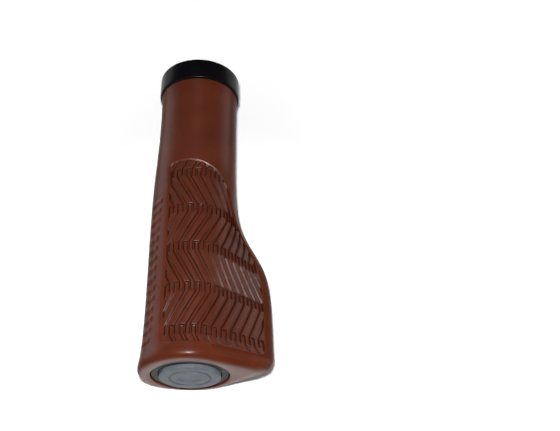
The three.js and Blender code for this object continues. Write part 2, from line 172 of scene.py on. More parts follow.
class Surface:
    """The body's smooth outer surface, addressed by girth from the ridge and length from the end."""

    turns = np.radians(np.arange(0, 360, SUPPORT_STEP))
    samples = 400

    def __init__(self):
        fillet_run = END_FILLET * math.pi / 2
        self.shift = fillet_run - END_FILLET
        self.end = NECK_END + self.shift
        self.rows = np.concatenate((
            np.linspace(0, fillet_run, FILLET_ROWS)[:-1],
            np.linspace(fillet_run, WING_CORNER + self.shift, CORNER_ROWS)[:-1],
            np.linspace(WING_CORNER + self.shift, self.end, LENGTH_ROWS),
        ))
        sides = [self.section(self.y_of(row)) for row in self.rows]
        self.left = np.array([side[0] for side in sides])
        self.right = np.array([side[1] for side in sides])
        self.left_girth = np.array([side[2] for side in sides])
        self.right_girth = np.array([side[3] for side in sides])

    def y_of(self, v):
        """Distance from the end face at a length v measured along the surface from that face's edge."""
        fillet_run = END_FILLET * math.pi / 2
        curved = END_FILLET * (1 - np.cos(np.minimum(v, fillet_run) / END_FILLET))
        return np.where(v < fillet_run, curved, v - self.shift)

    def support(self, y):
        """How far the section reaches in each direction."""
        flare = FLARE_RISE * np.exp(-y / FLARE_LENGTH)
        lip = NECK_LIP * np.exp((y - RING_START) / NECK_LIP_LENGTH)
        wing = ease(y, WING_PLACE, WING_EASE)
        into_corner = min(1, max(0, 1 - y / WING_CORNER))
        corner = WING_CORNER_CUT * (1 - math.sqrt(1 - into_corner ** 2))
        left = NECK_RADIUS + SIDE_BELLY * ease(y, SIDE_BELLY_PLACE, SIDE_BELLY_EASE) + flare + lip
        top = NECK_RADIUS + RIDGE_RISE * ease(y, RIDGE_PLACE, RIDGE_EASE) + flare + lip
        bottom = NECK_RADIUS + UNDERSIDE_DROP * ease(y, UNDERSIDE_PLACE, UNDERSIDE_EASE) + lip
        reach = NECK_RADIUS + (WING_REACH - NECK_RADIUS) * wing + lip - corner
        right = NECK_RADIUS + PALM_BELLY * ease(y, PALM_BELLY_PLACE, SIDE_BELLY_EASE) + lip
        tip_share = ease(y, WING_TIP_PLACE, WING_TIP_EASE)
        tip = NECK_RADIUS + (WING_TIP_RADIUS - NECK_RADIUS) * tip_share
        tip_rise = (WING_TIP_RISE - WING_TIP_DROP * (1 - np.exp(-y / WING_TIP_DROP_LENGTH))) * tip_share
        across, up = np.cos(self.turns), np.sin(self.turns)
        width = np.where(across < 0, left, right)
        height = np.where(up > 0, top, bottom)
        main = np.hypot(width * across, height * up)
        wing_tip = (reach - tip) * across + tip_rise * up + tip
        whole = np.maximum(main, wing_tip)
        fillet = np.minimum(END_FILLET, whole - FLANGE_RADIUS - SEAT_GAP - END_RIM)
        into = np.clip(fillet - y, 0, None)
        return whole - (fillet - np.sqrt(fillet ** 2 - into ** 2)), (reach - left) / 2

    def section(self, y):
        """Evenly spaced outline points from the ridge down each side to the foot, and each side's length."""
        support, centre = self.support(y)
        across, up = np.cos(self.turns), np.sin(self.turns)
        angles = np.radians(np.arange(0, 360, OUTLINE_STEP))
        facing = np.outer(np.cos(angles), across) + np.outer(np.sin(angles), up)
        distance = (support - centre * across) / np.maximum(facing, EDGE_ON)
        radius = np.where(facing > EDGE_ON, distance, np.inf).min(axis=1)
        x = centre + radius * np.cos(angles)
        z = np.maximum(radius * np.sin(angles), -REST_DEPTH)
        above = slice(*(round(angle / OUTLINE_STEP) for angle in RIDGE_BETWEEN))
        below = slice(*(round(angle / OUTLINE_STEP) for angle in FOOT_BETWEEN))
        ridge = np.interp(0, x[above][::-1], angles[above][::-1])
        foot = np.interp(0, x[below], angles[below])
        looped = np.stack((np.append(x, x[0]), np.append(z, z[0])), 1)
        whole_turn = np.append(angles, 2 * math.pi)

        def side(turns):
            line = np.stack([np.interp(turns, whole_turn, looped[:, k]) for k in (0, 1)], 1)
            steps = np.linalg.norm(np.diff(line, axis=0), axis=1)
            walked = np.concatenate(([0], np.cumsum(steps)))
            even = np.linspace(0, walked[-1], self.samples)
            points = np.stack([np.interp(even, walked, line[:, k]) for k in (0, 1)], 1)
            return points, walked[-1]

        fine = 900
        left, left_girth = side(np.linspace(ridge, foot, fine))
        right, right_girth = side(np.linspace(ridge, foot - 2 * math.pi, fine) % (2 * math.pi))
        return left, right, left_girth, right_girth

    def point(self, girth, v):
        """Position on the surface, in millimetres."""
        row = np.interp(v, self.rows, np.arange(len(self.rows)))
        low = np.clip(np.floor(row).astype(int), 0, len(self.rows) - 2)
        part = (row - low)[:, None]
        found = np.empty((len(v), 2))
        for mask, table, lengths in (
            (girth < 0, self.left, self.left_girth),
            (girth >= 0, self.right, self.right_girth),
        ):
            length = np.interp(v[mask], self.rows, lengths)
            column = np.clip(np.abs(girth[mask]) / length, 0, 1) * (self.samples - 1)
            first = np.clip(np.floor(column).astype(int), 0, self.samples - 2)
            share = (column - first)[:, None]
            lows = low[mask]
            near = table[lows, first] * (1 - share) + table[lows, first + 1] * share
            far = table[lows + 1, first] * (1 - share) + table[lows + 1, first + 1] * share
            found[mask] = near * (1 - part[mask]) + far * part[mask]
        return np.column_stack((found[:, 0], self.y_of(v), found[:, 1]))

    def inward(self, girth, v):
        """Unit direction into the rubber at each place."""
        step = 0.3
        a = np.clip(v - step, 0, self.end)
        b = np.clip(v + step, 0, self.end)
        along_girth = self.point(girth + step, v) - self.point(girth - step, v)
        along_grip = self.point(girth, b) - self.point(girth, a)
        normal = np.cross(along_grip, along_girth)
        return normal / np.linalg.norm(normal, axis=1)[:, None]

    def girth_of_x(self, x, y):
        """Girth of the point over x on the top of the section at y."""
        row = int(np.argmin(np.abs(self.rows - (y + self.shift))))
        if x < 0:
            table, length = self.left[row], self.left_girth[row]
        else:
            table, length = self.right[row], self.right_girth[row]
        spread = int(np.argmax(np.abs(table[:, 0]))) + 1
        girths = np.linspace(0, length, self.samples)[:spread]
        return math.copysign(np.interp(abs(x), np.abs(table[:spread, 0]), girths), x)

    def girth_of_z(self, z, y):
        """Girth of the point at height z on the thumb side of the section at y."""
        row = int(np.argmin(np.abs(self.rows - (y + self.shift))))
        girths = np.linspace(0, self.left_girth[row], self.samples)
        return -np.interp(-z, -self.left[row][:, 1], girths)

    def reach(self, y):
        """How far the section reaches on the palm's side."""
        support, _ = self.support(y)
        return support[0]


def offset_loop(loop, distance):
    """The closed outline moved outward by a distance, with mitred corners."""
    points = np.asarray(loop, float)
    nexts = np.roll(points, -1, axis=0)
    runs = (nexts - points) / np.linalg.norm(nexts - points, axis=1)[:, None]
    outward = np.stack((runs[:, 1], -runs[:, 0]), 1)
    if signed_area(points) < 0:
        outward = -outward
    before = np.roll(outward, 1, axis=0)
    mitre = outward + before
    mitre /= (mitre * outward).sum(axis=1)[:, None]
    return points + mitre * distance


def signed_area(points):
    x, y = points[:, 0], points[:, 1]
    return 0.5 * float(np.sum(x * np.roll(y, -1) - np.roll(x, -1) * y))


def split_loop(loop, spacing):
    """The closed outline with extra points, so that no run is longer than the spacing."""
    made = []
    for a, b in zip(loop, np.roll(loop, -1, axis=0)):
        count = max(1, math.ceil(np.linalg.norm(b - a) / spacing))
        made += [a + (b - a) * i / count for i in range(count)]
    return np.array(made)


def signed_distance(points, loop):
    """Distance of each point from the closed outline, negative inside it."""
    a = np.asarray(loop, float)
    b = np.roll(a, -1, axis=0)
    nearest = np.full(len(points), np.inf)
    inside = np.zeros(len(points), bool)
    x, y = points[:, 0], points[:, 1]
    for (ax, ay), (bx, by) in zip(a, b):
        run_x, run_y = bx - ax, by - ay
        share = np.clip(((x - ax) * run_x + (y - ay) * run_y) / (run_x ** 2 + run_y ** 2), 0, 1)
        nearest = np.minimum(nearest, np.hypot(x - ax - share * run_x, y - ay - share * run_y))
        if ay != by:
            crossing = (ay > y) != (by > y)
            inside ^= crossing & (x < ax + (y - ay) * run_x / run_y)
    return np.where(inside, -nearest, nearest)


def near_distance(points, loop, reach):
    """As signed_distance, but only for points close to the outline, and a large value for the others."""
    low, high = np.min(loop, axis=0) - reach, np.max(loop, axis=0) + reach
    close = np.all((points > low) & (points < high), axis=1)
    found = np.full(len(points), FAR_AWAY)
    if close.any():
        found[close] = signed_distance(points[close], loop)
    return found


def share_at(distance, wall):
    """Share of the full depth at a distance from an edge."""
    places = [p for p, _ in reversed(wall)]
    shares = [s for _, s in reversed(wall)]
    return np.interp(distance, places, shares)


def panel_outline(surface, margin):
    """The sunk panel's outline as girth and length, straight on the thumb side and arched at the neck."""
    left, start, top = -PANEL_LEFT + margin, PANEL_START + margin, PANEL_TOP - margin
    corner = PANEL_CORNER - margin
    corner_steps, side_step, arch_steps = 6, 1, 24
    outline = []

    def right_at(y):
        return surface.reach(y) - PANEL_RIGHT_MARGIN - margin

    def arch_at(x):
        across = (x - ARCH_CENTRE_X) / (ARCH_HALF_WIDTH - margin)
        return top - ARCH_RISE + ARCH_RISE * math.sqrt(max(0, 1 - across ** 2))

    def arc(x, y, first):
        for i in range(corner_steps + 1):
            turn = first + i / corner_steps * math.pi / 2
            outline.append((x + corner * math.cos(turn), y + corner * math.sin(turn)))

    arc(left + corner, start + corner, math.pi)
    arc(right_at(start + corner) - corner, start + corner, -math.pi / 2)
    side_end = top - ARCH_RISE
    for y in np.arange(start + corner + side_step, side_end, side_step):
        outline.append((right_at(y), y))
    arch_end = min(right_at(side_end), ARCH_CENTRE_X + ARCH_HALF_WIDTH - margin)
    for i in range(arch_steps):
        x = ARCH_CENTRE_X + (arch_end - ARCH_CENTRE_X) * math.cos(i / arch_steps * math.pi / 2)
        outline.append((x, arch_at(x)))
    arc(left + corner, arch_at(left + corner) - corner, math.pi / 2)
    return np.array([(surface.girth_of_x(x, y), y + surface.shift) for x, y in outline])


def channel_outline(row, girth, shift):
    """A row's channel: a short leg, a leaning run and a second leg, of equal width all along."""
    upper = FIRST_JOINT - (row - 1) * ROW_PITCH
    lower = upper - ROW_PITCH
    lean = CHANNEL_LEAN if row % 2 == 1 else -CHANNEL_LEAN
    route = [
        (girth, upper + LEG_HALF), (girth, upper - LEG_HALF),
        (girth + lean, lower + LEG_HALF), (girth + lean, lower - LEG_HALF),
    ]
    half = CHANNEL_WIDTH / 2
    left = [(s - half, y + shift) for s, y in route]
    right = [(s + half, y + shift) for s, y in reversed(route)]
    return np.array(left + right)


def channel_outlines(surface, field):
    """Every channel with at least two of the places along its middle line in the field."""
    found = []
    girth_limit = 48
    places = np.arange(0.1, 1, 0.2)[:, None]
    for row in range(ROW_COUNT):
        first = CHANNEL_PHASE if row % 2 == 1 else CHANNEL_PHASE + CHANNEL_PITCH / 2 + CHANNEL_LEAN
        low = math.ceil((-girth_limit - first) / CHANNEL_PITCH)
        high = math.floor((girth_limit - first) / CHANNEL_PITCH)
        for count in range(low, high + 1):
            outline = channel_outline(row, first + count * CHANNEL_PITCH, surface.shift)
            middle = (outline[:4] + outline[:3:-1]) / 2
            parts = np.concatenate([a + (b - a) * places for a, b in zip(middle, middle[1:])])
            if (signed_distance(parts, field) < 0).sum() >= 2:
                found.append(outline)
    return found


def rib_outlines(surface):
    """The short ribs in a row on the thumb side."""
    found = []
    for i in range(RIB_COUNT):
        start = RIB_START + i * RIB_PITCH
        end = start + RIB_LENGTH
        low, high = surface.girth_of_z(RIB_LOW, start), surface.girth_of_z(RIB_HIGH, start)
        corners = [(low, start), (high, start), (high, end), (low, end)]
        found.append(np.array([(s, y + surface.shift) for s, y in corners]))
    return found


class Net:
    """Points and edges of the flat net that is triangulated and then folded round the grip."""

    def __init__(self):
        self.points = []
        self.edges = []

    def line(self, points, keep=None):
        """Adds a closed line, or the runs of it that are kept."""
        kept = np.ones(len(points), bool) if keep is None else keep
        numbers = np.cumsum(kept) - 1 + len(self.points)
        self.points += [tuple(p) for p, wanted in zip(points, kept) if wanted]
        for i in range(len(points)):
            j = (i + 1) % len(points)
            if kept[i] and kept[j]:
                self.edges.append((int(numbers[i]), int(numbers[j])))


def body_relief(points, panel, field, channels, ribs):
    """Depth below the plain surface at each point, and a value that masks the painted shade on the channels'
    sides.

    The value is 1 half-way down a side and falls to 0 at its top and its foot.
    """
    channel = np.full(len(points), FAR_AWAY)
    for outline in channels:
        channel = np.minimum(channel, near_distance(points, outline, EDGE_REACH))
    cut = np.maximum(channel, near_distance(points, field, EDGE_REACH))
    depth = PANEL_DEPTH * share_at(near_distance(points, panel, EDGE_REACH), PANEL_WALL)
    share = share_at(cut, CHANNEL_WALL)
    depth += CHANNEL_DEPTH * share
    for outline in ribs:
        depth -= RIB_HEIGHT * share_at(near_distance(points, outline, EDGE_REACH), RIB_WALL)
    return depth, 4 * share * (1 - share)


def body_net(surface, panel, field, channels, ribs):
    """The body's outer surface as a flat triangulated net, with edges along every rounded edge."""
    net = Net()
    fine = np.linspace(0, SEAM_FINE_END, SEAM_FINE_POINTS)
    seam = np.concatenate((fine[:-1], np.linspace(SEAM_FINE_END, surface.end, SEAM_POINTS)))
    left_seam = np.array([(-np.interp(v, surface.rows, surface.left_girth), v) for v in seam])
    right_seam = np.array([(np.interp(v, surface.rows, surface.right_girth), v) for v in seam])

    def across(v, count):
        row = seam.tolist().index(v)
        return np.linspace(left_seam[row], right_seam[row], count)

    net.line(np.concatenate((
        across(seam[0], END_POINTS), right_seam[1:-1],
        across(seam[-1], NECK_POINTS)[::-1], left_seam[-2:0:-1],
    )))
    rounded_edges = (
        (channels, CHANNEL_WALL, field), (ribs, RIB_WALL, None),
        ([field], CHANNEL_WALL, None), ([panel], PANEL_WALL, None),
    )
    for outlines, wall, limit in rounded_edges:
        for outline in outlines:
            for distance, _ in wall:
                loop = split_loop(offset_loop(outline, distance), EDGE_SPACING)
                keep = None if limit is None else near_distance(loop, limit, LIMIT_REACH) < EDGE_SPACING
                net.line(loop, keep)
    edge_points = np.array(net.points)
    grid = []
    for v in np.arange(GRID_START, surface.end, GRID_SPACING):
        low = -np.interp(v, surface.rows, surface.left_girth) + SEAM_CLEAR
        high = np.interp(v, surface.rows, surface.right_girth) - SEAM_CLEAR
        grid += [(s, v) for s in np.linspace(low, high, int((high - low) / GRID_SPACING))]
    grid = np.array(grid)
    clear = far_from(grid, edge_points, EDGE_CLEAR)
    net.points += [tuple(p) for p in grid[clear]]
    verts, _, faces, *_ = delaunay_2d_cdt([Vector(p) for p in net.points], net.edges, [], 1, 1e-4)
    return np.array([tuple(v) for v in verts]), faces


def far_from(points, others, distance):
    """Which points have none of the others within a distance."""
    cells = {}
    for x, y in others:
        cells.setdefault((int(x // distance), int(y // distance)), []).append((x, y))
    clear = []
    for x, y in points:
        column, line = int(x // distance), int(y // distance)
        near = (p for i in (-1, 0, 1) for j in (-1, 0, 1) for p in cells.get((column + i, line + j), ()))
        clear.append(all(math.hypot(px - x, py - y) >= distance for px, py in near))
    return np.array(clear)


def new_object(name, verts, faces, material, smooth_angle=50, layers=None):
    """An object at the world's origin from points in the grip's millimetres."""
    mesh = bpy.data.meshes.new(name)
    mesh.from_pydata([tuple(p) for p in place(verts)], [], faces)
    for layer, known in (layers or {}).items():
        values = np.zeros(len(verts), np.float32)
        values[:len(known)] = known
        mesh.attributes.new(layer, "FLOAT", "POINT").data.foreach_set("value", values)
    work = bmesh.new()
    work.from_mesh(mesh)
    bmesh.ops.remove_doubles(work, verts=work.verts, dist=MERGE_WITHIN)
    bmesh.ops.dissolve_degenerate(work, edges=work.edges, dist=SLIVER)
    bmesh.ops.recalc_face_normals(work, faces=work.faces)
    work.to_mesh(mesh)
    work.free()
    mesh.shade_smooth()
    mesh.set_sharp_from_angle(angle=math.radians(smooth_angle))
    mesh.materials.append(material)
    made = bpy.data.objects.new(name, mesh)
    bpy.context.scene.collection.objects.link(made)
    return made


def polish_at(flat, points, inward, panel):
    """Share of the full gloss at each point: high on the top and the end face, none on the wing's rim."""
    upward = np.clip((-inward[:, 2] - DULL_BELOW) / (POLISHED_ABOVE - DULL_BELOW), 0, 1)
    outward = np.clip(inward[:, 1], 0, 1)
    polish = upward * np.clip(1 - outward / FILLET_DULL, FILLET_POLISH, 1)
    polish = np.maximum(polish, END_POLISH * np.clip((outward - END_FACING) / END_BLEND, 0, 1))
    v = flat[:, 1]
    outside_panel = near_distance(flat, panel, EDGE_REACH) > 0
    rim = outside_panel & (points[:, 0] > NECK_RADIUS / 2) & (v > PANEL_START)
    polish[rim] *= 1 - ease(v[rim], PANEL_TOP, RIM_FADE)
    return polish


def rubber_skin(material):
    surface = Surface()
    panel = panel_outline(surface, 0)
    field = panel_outline(surface, CHANNEL_MARGIN)
    channels = channel_outlines(surface, field)
    ribs = rib_outlines(surface)
    flat, faces = body_net(surface, panel, field, channels, ribs)
    depth, side = body_relief(flat, panel, field, channels, ribs)
    girth, v = flat[:, 0], flat[:, 1]
    inward = surface.inward(girth, v)
    points = surface.point(girth, v) + inward * depth[:, None]
    box = [(np.array(corner) - np.array(ORIGIN)) / MM for corner in (body_low, body_high)]
    points = np.clip(points, *box)
    polish = polish_at(flat, points, inward, panel)
    verts = points.tolist()
    faces = [tuple(face) for face in faces]
    # The end face, the flange's seat, the bore and the neck's end carry on from the net's two ends
    outer = [i for i in np.argsort(girth) if v[i] < ON_BORDER]
    inner = [i for i in np.argsort(girth) if v[i] > surface.end - ON_BORDER]
    seat = FLANGE_RADIUS + SEAT_GAP
    bore = CORE_RADIUS + SEAT_GAP
    seat_back = FLANGE_BACK + SEAT_GAP
    mouth = [(seat + SEAT_LIP, 0), (seat + SEAT_LIP_MIDDLE, SEAT_LIP_MIDDLE)]
    inside = [(seat, SEAT_LIP), (seat, seat_back), *((bore, y) for y in (seat_back, *BORE_ROWS, NECK_END))]
    count = BORE_POINTS
    turns = np.linspace(0, 2 * math.pi, count, endpoint=False)
    rings = []
    for radius, y in mouth + inside:
        rings.append(len(verts))
        verts += [(radius * math.cos(t), y, radius * math.sin(t)) for t in turns]
    polish = np.concatenate((polish, np.full(len(mouth) * count, END_POLISH)))
    for a, b in zip(rings, rings[1:]):
        faces += [(a + i, a + (i + 1) % count, b + (i + 1) % count, b + i) for i in range(count)]
    faces += bridge(verts, outer[:-1], [rings[0] + i for i in range(count)])
    faces += bridge(verts, inner[:-1], [rings[-1] + i for i in range(count)])
    # The side layer carries the mask of the painted shade on the channels' sides
    return new_object("rubber_skin", verts, faces, material, 60, {"side": side, "polish": polish})


def bridge(verts, outline, ring):
    """Triangles between two closed rows of points that run round the bar's axis."""
    def turn(i):
        return math.atan2(verts[i][2], verts[i][0]) % (2 * math.pi)

    a = sorted(outline, key=turn)
    b = sorted(ring, key=turn)
    faces = []
    i = j = 0
    while i < len(a) or j < len(b):
        next_a = turn(a[i % len(a)]) + 2 * math.pi * (i // len(a))
        next_b = turn(b[j % len(b)]) + 2 * math.pi * (j // len(b))
        here_a, here_b = a[(i - 1) % len(a)], b[(j - 1) % len(b)]
        if j >= len(b) or (i < len(a) and next_a <= next_b):
            faces.append((here_a, a[i % len(a)], here_b))
            i += 1
        else:
            faces.append((here_a, b[j % len(b)], here_b))
            j += 1
    return faces


def rounded(profile, steps=4):
    """The closed profile's (radius, y, rounding) corners as (radius, y) points, each corner rounded."""
    made = []
    count = len(profile)
    for i, (radius, y, size) in enumerate(profile):
        here = np.array((radius, y), float)
        before = np.array(profile[i - 1][:2], float) - here
        after = np.array(profile[(i + 1) % count][:2], float) - here
        if size <= 0:
            made.append(tuple(here))
            continue
        first = here + before / np.linalg.norm(before) * size
        last = here + after / np.linalg.norm(after) * size
        for k in range(steps + 1):
            t = k / steps
            made.append(tuple((1 - t) ** 2 * first + 2 * t * (1 - t) * here + t ** 2 * last))
    return made


def turned(name, profile, material, segments):
    """A body of revolution round the bar's axis from a closed line of (radius, y) points."""
    verts, faces = [], []
    turns = np.linspace(0, 2 * math.pi, segments, endpoint=False)
    for radius, y in profile:
        verts += [(radius * math.cos(t), y, radius * math.sin(t)) for t in turns]
    for row in range(len(profile)):
        a, b = row * segments, (row + 1) % len(profile) * segments
        faces += [(a + i, a + (i + 1) % segments, b + (i + 1) % segments, b + i) for i in range(segments)]
    return new_object(name, verts, faces, material, TURNED_SMOOTH)


def cut_by(piece, cutter):
    """Cuts one object by another and deletes the cutter."""
    modifier = piece.modifiers.new("cut", "BOOLEAN")
    modifier.operation = "DIFFERENCE"
    modifier.solver = "EXACT"
    modifier.object = cutter
    apply_modifiers(piece)
    bpy.data.objects.remove(cutter, do_unlink=True)


def apply_modifiers(piece):
    depsgraph = bpy.context.evaluated_depsgraph_get()
    mesh = bpy.data.meshes.new_from_object(piece.evaluated_get(depsgraph))
    piece.modifiers.clear()
    piece.data = mesh


def box_object(name, low, high, material):
    corners = [(x, y, z) for x in (low[0], high[0]) for y in (low[1], high[1]) for z in (low[2], high[2])]
    faces = [(0, 1, 3, 2), (4, 6, 7, 5), (0, 4, 5, 1), (2, 3, 7, 6), (0, 2, 6, 4), (1, 5, 7, 3)]
    return new_object(name, corners, faces, material)


def rod_object(name, radius, x_from, x_to, material):
    """A cylinder along X at the bolt's place."""
    middle = (RING_START + GRIP_LENGTH) / 2
    sides = 64
    verts = []
    for x in (x_from, x_to):
        for i in range(sides):
            turn = i / sides * 2 * math.pi
            verts.append((x, middle + radius * math.cos(turn), -BOLT_DEPTH + radius * math.sin(turn)))
    faces = [(i, (i + 1) % sides, sides + (i + 1) % sides, sides + i) for i in range(sides)]
    faces += [tuple(range(sides)), tuple(range(2 * sides - 1, sides - 1, -1))]
    return new_object(name, verts, faces, material)


# Turned pieces: edges flatter than this many degrees are shaded smooth, and an axis point's tiny radius
TURNED_SMOOTH = 40
AXIS_RADIUS = 0.01

# Clamp ring and bolt
SLIT_WIDTH = 1.5
LUG_WIDTH, LUG_LENGTH = 6, 2.2
RING_ROUNDING, RING_BORE_EDGE = 1, 0.25
BOLT_RADIUS, HEAD_SEAT = 1.5, 3.2
SOCKET_RADIUS, SOCKET_DEPTH = 1.45, 1.3
SOCKET_EDGE, HEAD_EDGE, HEAD_SEAT_EDGE, TIP_EDGE = 0.12, 0.3, 0.1, 0.3
BOLT_SMOOTH = 35
# How many points of the bolt's rounded line follow the socket's hexagon
SOCKET_POINTS = 5


def ring_skin(material):
    profile = rounded([
        (BORE_RADIUS, GRIP_LENGTH, RING_BORE_EDGE), (BORE_RADIUS, RING_START, RING_BORE_EDGE),
        (RING_RADIUS, RING_START, RING_ROUNDING), (RING_RADIUS, GRIP_LENGTH, RING_ROUNDING),
    ], steps=7)
    ring = turned("ring_skin", profile, material, segments=192)
    far = 2 * RING_RADIUS
    slit = SLIT_WIDTH / 2
    cut_by(ring, box_object("slit", (-slit, 0, -far), (slit, 2 * GRIP_LENGTH, 0), material))
    cut_by(ring, box_object("rest", (-far, 0, -far), (far, 2 * GRIP_LENGTH, -REST_DEPTH), material))
    cut_by(ring, rod_object("hole", BOLT_RADIUS + SEAT_GAP, -far, far, material))
    cut_by(ring, rod_object("pocket", HEAD_RADIUS + SEAT_GAP, HEAD_SEAT - SEAT_GAP, far, material))
    half = LUG_WIDTH / 2 + SEAT_GAP
    reach = CORE_RADIUS + SEAT_GAP
    depth = RING_START + LUG_LENGTH + SEAT_GAP
    for low, high in ((-reach, 0), (0, reach)):
        cut_by(ring, box_object("notch", (low, 0, -half), (high, depth, half), material))
    ring.data.set_sharp_from_angle(angle=math.radians(TURNED_SMOOTH))
    return ring


def bolt_skin(material):
    line = rounded([
        (AXIS_RADIUS, HEAD_TOP - SOCKET_DEPTH, 0), (SOCKET_RADIUS, HEAD_TOP - SOCKET_DEPTH, 0),
        (SOCKET_RADIUS, HEAD_TOP, SOCKET_EDGE), (HEAD_RADIUS, HEAD_TOP, HEAD_EDGE),
        (HEAD_RADIUS, HEAD_SEAT, HEAD_SEAT_EDGE), (BOLT_RADIUS, HEAD_SEAT, 0),
        (BOLT_RADIUS, BOLT_TIP, TIP_EDGE), (AXIS_RADIUS, BOLT_TIP, 0),
    ], steps=3)
    sides = 72
    middle = (RING_START + GRIP_LENGTH) / 2
    verts, faces = [], []
    for k, (radius, x) in enumerate(line):
        for i in range(sides):
            turn = i / sides * 2 * math.pi
            size = radius * hex_share(turn) if k < SOCKET_POINTS else radius
            verts.append((x, middle + size * math.cos(turn), -BOLT_DEPTH + size * math.sin(turn)))
    for row in range(len(line) - 1):
        a, b = row * sides, (row + 1) * sides
        faces += [(a + i, a + (i + 1) % sides, b + (i + 1) % sides, b + i) for i in range(sides)]
    last = (len(line) - 1) * sides
    faces += [tuple(range(sides)), tuple(range(last + sides - 1, last - 1, -1))]
    return new_object("bolt_skin", verts, faces, material, BOLT_SMOOTH)


def hex_share(turn):
    """Distance to a hexagon's side as a share of its corner radius."""
    sixth = math.pi / 3
    return math.cos(sixth / 2) / math.cos(turn % sixth - sixth / 2)


# Core sleeve and end cap
STOP_RADIUS = 9.2
CAP_SEAT_DEPTH, STOP_THICKNESS = 1.3, 1.5
FLANGE_MOUTH_EDGE, FLANGE_EDGE, SLEEVE_EDGE = 0.25, 0.45, 0.2
LUG_ROOT, LUG_INSET = 0.5, 0.01
CAP_BEVEL, CAP_BACK_EDGE, SKIRT_EDGE = 0.6, 0.1, 0.2
DISH_FOOT_EDGE, DISH_EDGE = 0.25, 0.2
CAP_RING_EDGE, CAP_RING_FOOT_EDGE = 0.12, 0.1
CAP_RING_RADIUS, CAP_RING_WIDTH, CAP_RING_DEPTH = 7.2, 0.7, 0.45
CAP_DISH_RADIUS, CAP_DISH_DEPTH = 4, 0.4
CAP_SKIRT_LENGTH, CAP_SKIRT_WALL, CAP_PLATE = 5, 1.5, 1


def sleeve_skin(material):
    stop_front = FLANGE_SUNK + CAP_SEAT_DEPTH
    stop_back = stop_front + STOP_THICKNESS
    mouth = CAP_RADIUS + SEAT_GAP
    profile = rounded([
        (BORE_RADIUS, stop_back, 0), (STOP_RADIUS, stop_back, 0), (STOP_RADIUS, stop_front, 0),
        (mouth, stop_front, 0), (mouth, FLANGE_SUNK, FLANGE_MOUTH_EDGE),
        (FLANGE_RADIUS, FLANGE_SUNK, FLANGE_EDGE), (FLANGE_RADIUS, FLANGE_BACK, 0),
        (CORE_RADIUS, FLANGE_BACK, 0), (CORE_RADIUS, NECK_END, SLEEVE_EDGE),
        (BORE_RADIUS, NECK_END, SLEEVE_EDGE),
    ])
    sleeve = turned("sleeve_skin", profile, material, segments=180)
    half = LUG_WIDTH / 2
    lug_end = RING_START + LUG_LENGTH
    verts, faces = [], []
    sides = 9
    swing = math.asin(half / CORE_RADIUS)
    for side in (0, math.pi):
        first = len(verts)
        for y in (NECK_END - LUG_ROOT, lug_end):
            for radius in (BORE_RADIUS + LUG_INSET, CORE_RADIUS - LUG_INSET):
                for i in range(sides):
                    turn = side - swing + 2 * swing * i / (sides - 1)
                    verts.append((radius * math.cos(turn), y, radius * math.sin(turn)))
        rows = [first + k * sides for k in range(4)]
        for a, b in ((0, 1), (1, 3), (3, 2), (2, 0)):
            faces += [(rows[a] + i, rows[a] + i + 1, rows[b] + i + 1, rows[b] + i) for i in range(sides - 1)]
        for i in (0, sides - 1):
            faces.append(tuple(rows[k] + i for k in (0, 1, 3, 2)))
    lugs = new_object("lug_skin", verts, faces, material)
    return sleeve, lugs


def cap_skin(material):
    front = -CAP_PROUD
    back = FLANGE_SUNK + CAP_SEAT_DEPTH - SEAT_GAP
    skirt = STOP_RADIUS - SEAT_GAP
    ring_out = CAP_RING_RADIUS + CAP_RING_WIDTH / 2
    ring_in = CAP_RING_RADIUS - CAP_RING_WIDTH / 2
    ring_foot = front + CAP_RING_DEPTH
    dish_foot = front + CAP_DISH_DEPTH
    skirt_in = skirt - CAP_SKIRT_WALL
    skirt_end = back + CAP_SKIRT_LENGTH
    profile = rounded([
        (AXIS_RADIUS, dish_foot, 0), (CAP_DISH_RADIUS, dish_foot, DISH_FOOT_EDGE),
        (CAP_DISH_RADIUS + CAP_DISH_DEPTH, front, DISH_EDGE), (ring_in, front, CAP_RING_EDGE),
        (ring_in, ring_foot, CAP_RING_FOOT_EDGE), (ring_out, ring_foot, CAP_RING_FOOT_EDGE),
        (ring_out, front, CAP_RING_EDGE), (CAP_RADIUS, front, CAP_BEVEL), (CAP_RADIUS, back, CAP_BACK_EDGE),
        (skirt, back, 0), (skirt, skirt_end, SKIRT_EDGE), (skirt_in, skirt_end, SKIRT_EDGE),
        (skirt_in, back + CAP_PLATE, 0), (AXIS_RADIUS, back + CAP_PLATE, 0),
    ])
    return turned("cap_skin", profile, material, segments=180)


# Materials

# Tones are (place on the noise, sRGB colour), a noise is (scale, detail) and a grain is (strength, height)
RUBBER_TONES = ((0.3, (73, 29, 14)), (0.55, (80, 33, 16)), (0.75, (86, 37, 20)))
RUBBER_TONE_NOISE, RUBBER_ROUGH_NOISE = (90, 6), (220, 5)
RUBBER_ROUGHNESS = (0.28, 0.42)
RUBBER_FINE_NOISE, RUBBER_FINE_GRAIN = (2600, 3), (0.12, 0.0001)
RUBBER_BROAD_NOISE, RUBBER_BROAD_GRAIN = (160, 3), (0.08, 0.0006)

# Painted shade: colour of a channel's steep sides half-way down, standing in for the shade that falls in the
# channels, tuned to the look of the lines in the photograph
CHANNEL_SHADE_COLOR = (18, 4, 2)

# The rubber's gloss, tuned to the photograph too: it grows with how far the surface faces up, is partly
# kept on the fillet and on the end face, and is none on the wing's rim as far as the panel's top
DULL_BELOW, POLISHED_ABOVE = 0.5, 0.95
DULL_GLOSS, POLISHED_GLOSS = 0.015, 0.45
FILLET_DULL, FILLET_POLISH = 0.5, 0.35
END_FACING, END_BLEND, END_POLISH = 0.9, 0.1, 0.55
RIM_FADE = 4

